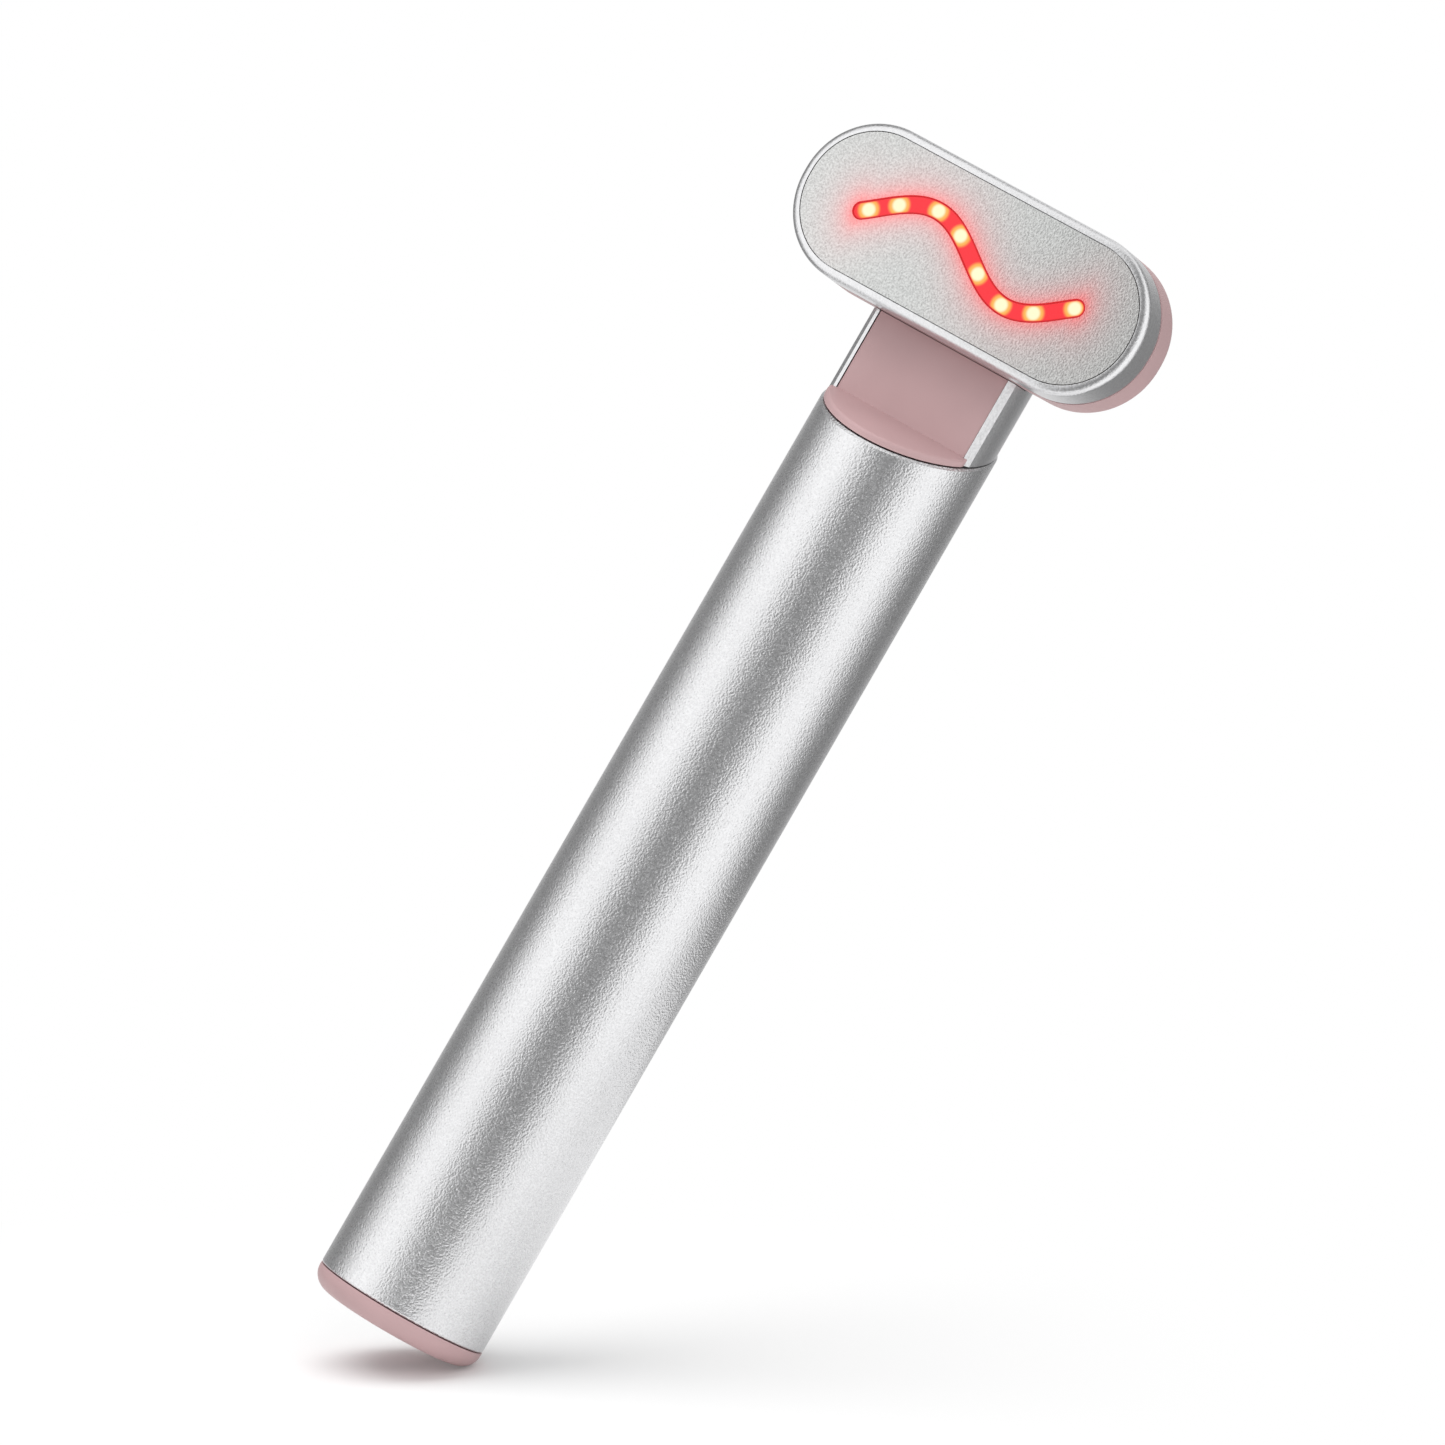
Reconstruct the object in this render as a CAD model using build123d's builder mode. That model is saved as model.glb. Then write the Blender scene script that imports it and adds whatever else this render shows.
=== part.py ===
from build123d import *
import math
import os

# Red light therapy wand, in millimetres.
# The wand stands upright on its end cap: +Z runs up the handle, the lit face looks towards -Y,
# +X is to the right of someone who looks at the lit face. The origin is the middle of the
# end cap's flat underside.

# Shared fits
fit_gap = 0.1
running_gap = 0.04
overrun = 4.0

# Handle tube, cut off at its top by a sloping plane on which the head turns
tube_diameter = 22.0
tube_wall = 1.0
tube_foot_radius = 0.3
tube_rim_chamfer = 0.25
joint_height = 123.6
joint_tilt = 22.5
seam_gap = 0.2

# End cap with its spigot and seal
cap_height = 2.6
cap_edge_radius = 2.3
cap_floor = 1.7
spigot_wall = 1.5
seal_width = 1.2
seal_depth = 0.7
seal_rise = 1.2
seal_clearance = 0.02

# Charging socket in the end cap
port_width = 8.9
port_thickness = 3.2
port_length = 7.3
port_wall = 0.3
port_recess = 0.4
port_gap = 0.15
port_lead_in = 0.3
tongue_width = 6.7
tongue_thickness = 0.7
tongue_length = 4.5
port_board_thickness = 1.0

# Chassis and battery cell
chassis_gap = 0.3
chassis_headroom = 3.8
bulkhead = 2.6
window_width = 10.0
cell_diameter = 14.0
cell_length = 50.0
cell_gap = 0.2
cell_setback = 1.2
cell_drop = 37.6
tab_width = 5.0
tab_thickness = 0.2
pad_thickness = 0.8

# Main board and what stands on it
board_thickness = 1.0
board_width = 13.0
chip_height = 0.9
chip_size = 4.0
coil_height = 1.6
charger_share = 0.14
coil_share = 0.22
memory_share = 0.44
controller_share = 0.56
lamp_size = 1.6
lamp_height = 0.6
plug_width = 6.0
plug_height = 2.0
plug_length = 4.0
plug_drop = 26.6

# Power button on the back of the handle
button_drop = 27.6
button_length = 11.0
button_width = 5.5
button_gap = 0.12
button_sink = 0.05
button_edge_radius = 0.2
button_travel = 0.3
button_rim = 0.8
switch_size = 6.0
switch_height = 1.0
switch_floor = 0.2
plunger_radius = 0.8
plunger_rise = 0.35

# Indicator light below the button
pipe_drop = 41.6
pipe_radius = 1.0

# Screws
screw_radius = 0.8
screw_length = 3.4
screw_head_radius = 1.4
screw_head_height = 0.9
screw_recess_depth = 0.45
screw_recess_radius = 0.6
screw_clearance = 0.1
thread_gap = 0.01
board_screw_shift = 3.5
port_screw_spread = 6.6

# Oblique swivel between handle and head
journal_radius = 4.0
journal_bore = 1.75
socket_depth = 8.0
leg_radius = 1.9
leg_spread = 4.9
leg_setback = 3.2
leg_bore_depth = 2.6
flange_thickness = 2.0
flange_bore = 3.0
ring_depth = 0.5
ring_thickness = 0.6
ring_reach = 1.1
ring_slit = 3.0
journal_tail = 0.8
washer_thickness = 0.5
drag_ring_level = 3.5
drag_ring_width = 1.2
drag_ring_depth = 0.7
stop_radius = 6.9
stop_width = 1.6
stop_depth = 1.4
stop_half_angle = 9.0
stop_play = 2.0
turn_limit = 180.0
flange_screw_radius = 6.6
flange_screw_angles = (35.0, 145.0)

# Neck between the swivel and the head
neck_diameter = 21.5
neck_wall = 1.1
neck_front = 3.4
neck_bevel = 0.45
neck_roof_radius = 1.2
roof_drop = 2.8
roof_slope = 45.0
plate_recess = 0.15
plate_width = 18.5
plate_thickness = 1.5
ledge_height = 0.9
ledge_width = 19.8
ledge_edge_radius = 0.45
channel_width = 7.0
channel_back = 5.5

# Head
head_rise = 20.1
head_width = 48.1
head_height = 19.9
head_end_flat = 0.5
head_depth = 11.6
face_reach = 10.6
head_edge_radius = 1.0
head_back_radius = 2.0
face_thickness = 0.8
face_groove = 0.12
bezel_width = 1.08
face_seal_thickness = 0.2
bezel_ledge = 1.2
bezel_flange = 1.0
front_depth = 5.0
front_wall = 1.2
trim_width = 0.4
trim_inset = 0.08
trim_seam = 0.08
lip_wall = 0.8
lip_reach = 1.6
back_wall = 1.4
side_wall = 1.8
post_radius = 1.1
post_end_inset = 7.05
post_edge_inset = 5.75
lead_window_width = 5.0
lead_window_height = 6.5
head_screw_spread = 6.0
head_screw_low_inset = 4.95
head_screw_top_inset = 7.45

# Wave-shaped light channel in the face
wave_length = 27.0
wave_height = 3.1
wave_shift = 0.4
wave_left = 14.8
wave_right = 15.0
channel_light_width = 2.3
guide_gap = 0.03
guide_recess = 0.1
guide_flange = 0.8
guide_flange_thickness = 0.5
wave_steps = 12
lamp_left_shares = (0.95, 0.74, 0.42, 0.15)
lamp_right_shares = (0.14, 0.44, 0.71, 0.99)

# Leads
lead_radius = 1.2
lead_setback = 4.6
lead_bend_radius = 2.4
lead_split = 6.0
lead_bend_rise = 0.5
lead_back = 3.3
lead_shoulder = 3.7
lead_crossing_inset = 5.55

# Worked-out sizes and places
tube_radius = tube_diameter / 2
tube_bore = tube_radius - tube_wall
tilt = math.radians(joint_tilt)
joint_plane = Plane(
    origin=(0, 0, joint_height),
    x_dir=(1, 0, 0),
    z_dir=(0, -math.sin(tilt), math.cos(tilt)),
)
rim_top = joint_height + tube_radius * math.tan(tilt)
cell_level = joint_height - cell_drop - cell_length
plug_level = joint_height - plug_drop
button_level = joint_height - button_drop
pipe_level = joint_height - pipe_drop
head_level = joint_height + head_rise
head_corner = (head_height - head_end_flat) / 2
post_spread = head_width / 2 - post_end_inset
post_rise = head_height / 2 - post_edge_inset
head_screw_drop = head_height / 2 - head_screw_low_inset
head_screw_rise = head_height / 2 - head_screw_top_inset
lead_crossing = head_height / 2 - lead_crossing_inset
tube_foot = cap_height + fit_gap
spigot_radius = tube_bore - fit_gap
port_board_level = port_recess + port_length
spigot_top = port_board_level - fit_gap
chassis_foot = port_board_level + port_board_thickness
chassis_radius = tube_bore - chassis_gap
cell_radius = cell_diameter / 2
socket_radius = tube_bore - fit_gap / 2
socket_low = joint_height - socket_depth / math.cos(tilt) - socket_radius * math.tan(tilt)
chassis_top = socket_low - chassis_headroom
board_seat = cell_radius - cell_setback + cell_gap
board_back = board_seat + board_thickness
lower_bulkhead = cell_level - tab_thickness - pad_thickness - bulkhead
upper_bulkhead = cell_level + cell_length + tab_thickness + pad_thickness
top_bulkhead = chassis_top - bulkhead
screw_seat_gap = screw_head_height + screw_clearance
neck_radius = neck_diameter / 2
frame_radius = neck_radius - neck_wall - fit_gap
plate_front = neck_front - plate_recess
plate_back = plate_front - plate_thickness
ledge_reach = neck_front + fit_gap
flange_top = seam_gap / 2 + flange_thickness
head_back = head_depth - face_reach
roof_top = head_level + head_height / 2 - roof_drop
washer_top = socket_depth
ring_top = washer_top + washer_thickness + running_gap
journal_end = ring_top + ring_thickness + journal_tail
face_inset = bezel_width + face_groove
recess_depth = face_thickness + face_seal_thickness
board_front_depth = recess_depth + bezel_flange
light_board_back = board_front_depth + board_thickness
trim_front = front_depth + trim_seam
back_start = trim_front + trim_width + trim_seam


def back_plane(level):
    """A plane on the tube axis that looks out of the handle's back, centred at this height."""
    return Plane(origin=(0, 0, level), x_dir=(-1, 0, 0), z_dir=(0, 1, 0))


def face_plane(depth):
    """A plane parallel to the lit face, this far behind it, that looks out of the face."""
    return Plane(origin=(0, depth - face_reach, head_level), x_dir=(1, 0, 0), z_dir=(0, -1, 0))


def head_outline(inset, mode=Mode.ADD):
    """Draws the head's outline, drawn in by the inset all round."""
    return RectangleRounded(
        head_width - 2 * inset, head_height - 2 * inset, head_corner - inset, mode=mode
    )


def oblique_slab(radius, low, high):
    """An upright cylinder cut off by two planes parallel to the joint plane."""
    with BuildPart() as slab:
        with BuildSketch():
            Circle(radius)
        extrude(amount=rim_top + overrun)
        split(bisect_by=joint_plane.offset(high), keep=Keep.BOTTOM)
        split(bisect_by=joint_plane.offset(low), keep=Keep.TOP)
    return slab.part


def neck_block(radius, front, bevel, roof_inset):
    """An upright cylinder with a flat front, under a roof that slopes down towards the back."""
    slope = math.radians(roof_slope)
    roof = Plane(
        origin=(0, head_back, roof_top),
        x_dir=(1, 0, 0),
        z_dir=(0, math.sin(slope), math.cos(slope)),
    )
    front_half = math.sqrt(radius**2 - front**2) - bevel
    side_half = math.sqrt(radius**2 - (front - bevel) ** 2)
    with BuildPart() as block:
        with BuildSketch():
            with BuildLine():
                Polyline(
                    (-side_half, bevel - front),
                    (-front_half, -front),
                    (front_half, -front),
                    (side_half, bevel - front),
                )
                ThreePointArc((side_half, bevel - front), (0, radius), (-side_half, bevel - front))
            make_face()
        extrude(amount=head_level + head_height)
        split(bisect_by=roof.offset(-roof_inset), keep=Keep.BOTTOM)
        fillet(block.edges().filter_by(GeomType.ELLIPSE), neck_roof_radius)
        split(bisect_by=Plane.XY.offset(roof_top - roof_inset), keep=Keep.BOTTOM)
    return block.part


def pan_screw(seat):
    """One pan head screw: the head stands on the seat plane, the shank goes down through it."""
    with BuildPart() as screw:
        with BuildSketch(seat):
            Circle(screw_head_radius)
        extrude(amount=screw_head_height)
        fillet(screw.edges().sort_by(Axis(seat.origin, seat.z_dir))[-1], screw_head_height / 2)
        with BuildSketch(seat):
            Circle(screw_radius)
        extrude(amount=-screw_length)
        with BuildSketch(seat.offset(screw_head_height)):
            RegularPolygon(screw_recess_radius, 6)
        extrude(amount=-screw_recess_depth, mode=Mode.SUBTRACT)
    return screw.part


def stop_band(inner, outer, start, sweep):
    """Draws a band round the joint's middle between two radii and two angles."""
    with BuildLine() as band:
        outer_arc = CenterArc((0, 0), outer, start, sweep)
        inner_arc = CenterArc((0, 0), inner, start, sweep)
        Line(outer_arc @ 0, inner_arc @ 0)
        Line(outer_arc @ 1, inner_arc @ 1)
    return make_face(band.edges())


def wave_level(x):
    """The height of the light channel's middle line above the head's middle."""
    return -wave_height * math.sin(2 * math.pi * (x - wave_shift) / wave_length)


def wave_side(x, side):
    """A point beside the channel's middle line, moved along the line's normal by side."""
    turn = 2 * math.pi / wave_length
    slope = -wave_height * turn * math.cos(turn * (x - wave_shift))
    stretch = math.hypot(1, slope)
    return (x - side * slope / stretch, wave_level(x) + side / stretch)


def wave_end(x, reach):
    """A point on the channel's middle line carried on straight past its end by reach."""
    turn = 2 * math.pi / wave_length
    slope = -wave_height * turn * math.cos(turn * (x - wave_shift))
    stretch = math.hypot(1, slope)
    return (x + reach / stretch, wave_level(x) + reach * slope / stretch)


def wave_outline(width):
    """Draws the light channel: two sides along the wave, closed by two round ends."""
    half = width / 2
    places = [
        -wave_left + (wave_left + wave_right) * step / wave_steps for step in range(wave_steps + 1)
    ]
    with BuildLine() as channel:
        upper = Spline(*[wave_side(x, half) for x in places])
        lower = Spline(*[wave_side(x, -half) for x in places])
        ThreePointArc(upper @ 0, wave_end(-wave_left, -half), lower @ 0)
        ThreePointArc(upper @ 1, wave_end(wave_right, half), lower @ 1)
    return make_face(channel.edges())


# Handle tube: thin aluminium tube with the sloping rim, the button's slot and the light's hole
with BuildPart() as handle_tube:
    with BuildSketch(Plane.XY.offset(tube_foot)):
        Circle(tube_radius)
        Circle(tube_bore, mode=Mode.SUBTRACT)
    extrude(amount=rim_top + overrun)
    split(bisect_by=joint_plane.offset(-seam_gap / 2), keep=Keep.BOTTOM)
    chamfer(handle_tube.edges().filter_by(GeomType.ELLIPSE).sort_by(SortBy.LENGTH)[-1], tube_rim_chamfer)
    fillet(handle_tube.edges().group_by(Axis.Z)[0].sort_by(SortBy.LENGTH)[-1], tube_foot_radius)
    with BuildSketch(back_plane(button_level)):
        SlotOverall(button_length, button_width, rotation=90)
    extrude(amount=tube_radius + overrun, mode=Mode.SUBTRACT)
    with BuildSketch(back_plane(pipe_level)):
        Circle(pipe_radius + fit_gap)
    extrude(amount=tube_radius + overrun, mode=Mode.SUBTRACT)

# End cap: rounded disc, hollow spigot that goes up into the tube, slot for the charging plug
with BuildPart() as end_cap:
    with BuildSketch():
        Circle(tube_radius)
    extrude(amount=cap_height)
    fillet(end_cap.edges().group_by(Axis.Z)[0], cap_edge_radius)
    with BuildSketch(Plane.XY.offset(cap_height)):
        Circle(spigot_radius)
    extrude(amount=spigot_top - cap_height)
    with BuildSketch(Plane.XY.offset(cap_floor)):
        Circle(spigot_radius - spigot_wall)
    extrude(amount=spigot_top, mode=Mode.SUBTRACT)
    with BuildSketch(Plane.XY.offset(cap_height + seal_rise)):
        Circle(tube_radius)
        Circle(spigot_radius - seal_depth, mode=Mode.SUBTRACT)
    extrude(amount=seal_width, mode=Mode.SUBTRACT)
    with BuildSketch():
        SlotOverall(port_width + 2 * port_gap, port_thickness + 2 * port_gap)
    extrude(amount=cap_floor + overrun, mode=Mode.SUBTRACT)
    chamfer(end_cap.faces().sort_by(Axis.Z)[0].inner_wires()[0].edges(), port_lead_in)

# Seal ring in the spigot's groove
with BuildPart() as end_cap_seal:
    with BuildSketch(Plane.XY.offset(cap_height + seal_rise + seal_clearance)):
        Circle(tube_bore - seal_clearance)
        Circle(spigot_radius - seal_depth + seal_clearance, mode=Mode.SUBTRACT)
    extrude(amount=seal_width - 2 * seal_clearance)
    fillet(end_cap_seal.edges(), seal_width / 4)

# Charging socket: folded steel shell, and the plastic insert with its tongue inside it
with BuildPart() as charge_socket_shell:
    with BuildSketch(Plane.XY.offset(port_recess)):
        SlotOverall(port_width, port_thickness)
        SlotOverall(port_width - 2 * port_wall, port_thickness - 2 * port_wall, mode=Mode.SUBTRACT)
    extrude(amount=port_length)

with BuildPart() as charge_socket_insert:
    with BuildSketch(Plane.XY.offset(port_board_level)):
        SlotOverall(port_width - 2 * port_wall, port_thickness - 2 * port_wall)
    extrude(amount=tongue_length + port_recess - port_board_level + port_gap)
    with BuildSketch(Plane.XY.offset(port_recess + 2 * port_gap)):
        Rectangle(tongue_width, tongue_thickness)
    extrude(amount=tongue_length)

port_screw_places = [(-port_screw_spread, 0), (port_screw_spread, 0)]

# Round board that carries the charging socket
with BuildPart() as port_board:
    with BuildSketch(Plane.XY.offset(port_board_level)):
        Circle(spigot_radius - spigot_wall / 2)
        with Locations(*port_screw_places):
            Circle(screw_radius + screw_clearance, mode=Mode.SUBTRACT)
    extrude(amount=port_board_thickness)

board_screw_levels = [
    chassis_foot + screw_head_radius + screw_clearance,
    upper_bulkhead + bulkhead / 2,
    top_bulkhead + bulkhead / 2,
]
socket_screw_places = [(-leg_spread, -leg_setback), (leg_spread, -leg_setback)]
socket_screw_seat = top_bulkhead + screw_seat_gap

# Chassis: long cradle for the battery cell with bulkheads and two rails under the main board
with BuildPart() as chassis:
    with BuildSketch(Plane.XY.offset(chassis_foot)):
        Circle(chassis_radius)
        with Locations((0, -cell_setback)):
            Circle(cell_radius + cell_gap, mode=Mode.SUBTRACT)
        with Locations((0, cell_radius)):
            Rectangle(window_width, 2 * cell_radius, mode=Mode.SUBTRACT)
    extrude(amount=chassis_top - chassis_foot)
    for level in (chassis_foot, lower_bulkhead, upper_bulkhead, top_bulkhead):
        with BuildSketch(Plane.XY.offset(level)):
            Circle(chassis_radius)
        extrude(amount=bulkhead)
    split(bisect_by=back_plane(0).offset(board_seat), keep=Keep.BOTTOM)
    with BuildSketch(Plane.XY.offset(chassis_foot)):
        with Locations(*port_screw_places):
            Circle(screw_radius + thread_gap)
    extrude(amount=bulkhead, mode=Mode.SUBTRACT)
    with BuildSketch(Plane.XY.offset(top_bulkhead)):
        with Locations(*socket_screw_places):
            Circle(screw_radius + screw_clearance)
        with Locations((0, lead_setback)):
            Circle(lead_radius + cell_gap)
            Rectangle(
                2 * (lead_radius + cell_gap), overrun, align=(Align.CENTER, Align.MIN)
            )
    extrude(amount=bulkhead, mode=Mode.SUBTRACT)
    with BuildSketch(Plane.XY.offset(top_bulkhead)):
        with Locations(*socket_screw_places):
            Circle(screw_head_radius + screw_clearance)
    extrude(amount=screw_seat_gap, mode=Mode.SUBTRACT)
    for level in board_screw_levels:
        with BuildSketch(back_plane(level).offset(board_seat)):
            with Locations((board_screw_shift, 0)):
                Circle(screw_radius + thread_gap)
        extrude(amount=board_thickness - screw_length - fit_gap, mode=Mode.SUBTRACT)

# Battery cell with its raised top contact, its two welded tabs and its two foam pads
with BuildPart() as battery_cell:
    with BuildSketch(Plane.XY.offset(cell_level)):
        with Locations((0, -cell_setback)):
            Circle(cell_radius)
    extrude(amount=cell_length)
    fillet(battery_cell.edges().group_by(Axis.Z)[0], cell_gap * 2)
    fillet(battery_cell.edges().group_by(Axis.Z)[-1], cell_gap * 2)

tab_levels = (cell_level - tab_thickness, cell_level + cell_length)
with BuildPart() as battery_tabs:
    for level in tab_levels:
        with BuildSketch(Plane.XY.offset(level)):
            with Locations((0, -cell_setback - tab_width / 2)):
                Rectangle(
                    tab_width,
                    board_seat + cell_setback + tab_width / 2,
                    align=(Align.CENTER, Align.MIN),
                )
        extrude(amount=tab_thickness)

pad_levels = (lower_bulkhead + bulkhead, upper_bulkhead - pad_thickness)
with BuildPart() as battery_pads:
    for level in pad_levels:
        with BuildSketch(Plane.XY.offset(level)):
            with Locations((0, -cell_setback)):
                Circle(cell_radius - cell_gap)
        extrude(amount=pad_thickness)

# Main board on the chassis rails, its screw holes in line with the bulkheads
board_middle = (chassis_foot + chassis_top) / 2
with BuildPart() as main_board:
    with BuildSketch(back_plane(board_middle).offset(board_seat)):
        Rectangle(board_width, chassis_top - chassis_foot)
        for level in board_screw_levels:
            with Locations((board_screw_shift, level - board_middle)):
                Circle(screw_radius + screw_clearance, mode=Mode.SUBTRACT)
    extrude(amount=board_thickness)

# Parts soldered to the main board's back: charger, coil, memory, controller, indicator lamp
board_length = chassis_top - chassis_foot
board_chips = (
    (chassis_foot + charger_share * board_length, chip_size, chip_height),
    (chassis_foot + coil_share * board_length, chip_size, coil_height),
    (chassis_foot + memory_share * board_length, chip_size / 2, chip_height),
    (chassis_foot + controller_share * board_length, chip_size, chip_height),
    (pipe_level, lamp_size, lamp_height),
)
with BuildPart() as board_components:
    for level, size, height in board_chips:
        with BuildSketch(back_plane(level).offset(board_back)):
            Rectangle(size, size)
        extrude(amount=height)

# Plug on the main board's front for the lead to the head
with BuildPart() as lead_plug:
    with BuildSketch(back_plane(plug_level).offset(board_seat)):
        Rectangle(plug_width, plug_length)
    extrude(amount=-plug_height - lead_radius)

# Push switch: its body on the board, and the plunger that the power button pushes
switch_top = board_back + switch_height
plunger_top = switch_top + plunger_rise
with BuildPart() as push_switch:
    with BuildSketch(back_plane(button_level).offset(board_back)):
        Rectangle(switch_size, switch_size)
    extrude(amount=switch_height)
    with BuildSketch(back_plane(button_level).offset(board_back + switch_floor)):
        Circle(plunger_radius + running_gap)
    extrude(amount=switch_height, mode=Mode.SUBTRACT)

with BuildPart() as switch_plunger:
    with BuildSketch(back_plane(button_level).offset(plunger_top)):
        Circle(plunger_radius)
    extrude(amount=-(plunger_rise + switch_height - switch_floor - button_travel - running_gap))

# Power button: its cap fills the slot in the tube, its rim behind the wall holds it in
rim_width = button_width + 2 * button_rim
rim_front = math.sqrt(tube_bore**2 - (rim_width / 2) ** 2) - button_gap
with BuildPart() as power_button:
    with BuildSketch(back_plane(button_level)):
        SlotOverall(button_length - 2 * button_gap, button_width - 2 * button_gap, rotation=90)
    extrude(amount=tube_radius + overrun)
    with BuildSketch():
        Circle(tube_radius - button_sink)
    extrude(amount=rim_top, mode=Mode.INTERSECT)
    fillet(power_button.faces().sort_by(Axis.Y)[-1].edges(), button_edge_radius)
    split(bisect_by=back_plane(button_level).offset(plunger_top), keep=Keep.TOP)
    with BuildSketch(back_plane(button_level).offset(plunger_top)):
        SlotOverall(button_length + 2 * button_rim, rim_width, rotation=90)
    extrude(amount=rim_front - plunger_top)

# Light pipe that carries the indicator lamp's light to the tube's surface
with BuildPart() as indicator_pipe:
    with BuildSketch(back_plane(pipe_level).offset(board_back + lamp_height + fit_gap)):
        Circle(pipe_radius)
    extrude(amount=tube_radius)
    with BuildSketch():
        Circle(tube_radius)
    extrude(amount=rim_top, mode=Mode.INTERSECT)

# Socket of the swivel: sloping slab in the tube's top with the bearing bore, the stop's groove
# and two legs that stand on the chassis
socket_slab = oblique_slab(socket_radius, -socket_depth, -seam_gap / 2)
with BuildPart() as swivel_socket:
    with BuildSketch(Plane.XY.offset(chassis_top)):
        with Locations(*socket_screw_places):
            Circle(leg_radius)
    extrude(amount=joint_height - chassis_top)
    split(bisect_by=joint_plane.offset(-socket_depth / 2), keep=Keep.BOTTOM)
    add(socket_slab)
    with BuildSketch(joint_plane):
        Circle(journal_radius + running_gap)
    extrude(amount=-socket_depth - overrun, mode=Mode.SUBTRACT)
    with BuildSketch(joint_plane):
        stop_band(
            stop_radius - stop_width / 2 - fit_gap,
            stop_radius + stop_width / 2 + fit_gap,
            -stop_half_angle - stop_play,
            turn_limit + 2 * (stop_half_angle + stop_play),
        )
    extrude(amount=-stop_depth - fit_gap, mode=Mode.SUBTRACT)
    with BuildSketch(Plane.XY.offset(chassis_top)):
        with Locations(*socket_screw_places):
            Circle(screw_radius + thread_gap)
    extrude(amount=leg_bore_depth, mode=Mode.SUBTRACT)

# Thrust washer under the socket
with BuildPart() as thrust_washer:
    with BuildSketch(joint_plane.offset(-washer_top)):
        Circle(journal_radius + ring_reach)
        Circle(journal_radius + running_gap, mode=Mode.SUBTRACT)
    extrude(amount=-washer_thickness)

# Screws of the handle: port board, socket legs and main board
handle_screw_list = []
for x, y in port_screw_places:
    seat = Plane(origin=(x, y, port_board_level), x_dir=(1, 0, 0), z_dir=(0, 0, -1))
    handle_screw_list.append(pan_screw(seat))
for x, y in socket_screw_places:
    seat = Plane(origin=(x, y, socket_screw_seat), x_dir=(1, 0, 0), z_dir=(0, 0, -1))
    handle_screw_list.append(pan_screw(seat))
for level in board_screw_levels:
    seat = Plane(origin=(-board_screw_shift, board_back, level), x_dir=(-1, 0, 0), z_dir=(0, 1, 0))
    handle_screw_list.append(pan_screw(seat))
with BuildPart() as handle_screws:
    add(handle_screw_list)

# Lead in the handle, from the plug up behind the socket and along the swivel's axis
lead_turn = lead_setback / math.sin(tilt)
with BuildPart() as handle_lead:
    with BuildLine():
        FilletPolyline(
            (0, lead_setback, plug_level + plug_length / 2),
            (0, lead_setback, joint_height - lead_turn * math.cos(tilt)),
            joint_plane.from_local_coords((0, 0, -lead_split)),
            radius=lead_bend_radius,
        )
    with BuildSketch(Plane.XY.offset(plug_level + plug_length / 2)):
        with Locations((0, lead_setback)):
            Circle(lead_radius)
    sweep()

# Hollow journal of the swivel: it turns in the socket and carries the neck on its flange
flange_screw_places = [
    (
        flange_screw_radius * math.cos(math.radians(angle)),
        flange_screw_radius * math.sin(math.radians(angle)),
    )
    for angle in flange_screw_angles
]
flange_seat_level = seam_gap / 2 + screw_seat_gap
flange_slab = oblique_slab(frame_radius, seam_gap / 2, flange_top)
with BuildPart() as swivel_journal:
    add(flange_slab)
    split(bisect_by=back_plane(0).offset(fit_gap - plate_back), keep=Keep.TOP)
    with BuildSketch(joint_plane.offset(seam_gap / 2)):
        Circle(journal_radius)
    extrude(amount=-seam_gap / 2 - journal_end)
    with BuildSketch(joint_plane.offset(seam_gap / 2)):
        stop_band(
            stop_radius - stop_width / 2,
            stop_radius + stop_width / 2,
            -stop_half_angle,
            2 * stop_half_angle,
        )
    extrude(amount=-stop_depth - seam_gap / 2)
    with BuildSketch(joint_plane.offset(flange_top)):
        Circle(journal_bore)
    extrude(amount=-flange_top - journal_end - overrun, mode=Mode.SUBTRACT)
    with BuildSketch(joint_plane.offset(seam_gap / 2)):
        Circle(flange_bore)
    extrude(amount=flange_thickness + overrun, mode=Mode.SUBTRACT)
    for level, width, depth in (
        (drag_ring_level, drag_ring_width, drag_ring_depth),
        (ring_top, ring_thickness, ring_depth),
    ):
        with BuildSketch(joint_plane.offset(-level)):
            Circle(journal_radius + overrun)
            Circle(journal_radius - depth, mode=Mode.SUBTRACT)
        extrude(amount=-width, mode=Mode.SUBTRACT)
    with BuildSketch(joint_plane.offset(seam_gap / 2)):
        with Locations(*flange_screw_places):
            Circle(screw_radius + screw_clearance)
    extrude(amount=flange_thickness, mode=Mode.SUBTRACT)
    with BuildSketch(joint_plane.offset(seam_gap / 2)):
        with Locations(*flange_screw_places):
            Circle(screw_head_radius + screw_clearance)
    extrude(amount=screw_seat_gap, mode=Mode.SUBTRACT)

# Rubber ring round the journal that gives the swivel its drag
with BuildPart() as drag_ring:
    with BuildSketch(joint_plane.offset(-drag_ring_level - seal_clearance)):
        Circle(journal_radius)
        Circle(journal_radius - drag_ring_depth + seal_clearance, mode=Mode.SUBTRACT)
    extrude(amount=2 * seal_clearance - drag_ring_width)

# Open spring ring that holds the journal in the socket
with BuildPart() as retaining_ring:
    with BuildSketch(joint_plane.offset(-ring_top - seal_clearance)):
        Circle(journal_radius + ring_reach)
        Circle(journal_radius - ring_depth + seal_clearance, mode=Mode.SUBTRACT)
        with Locations((0, -journal_radius)):
            Rectangle(ring_slit, 2 * ring_reach + ring_slit, mode=Mode.SUBTRACT)
    extrude(amount=2 * seal_clearance - ring_thickness)

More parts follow.
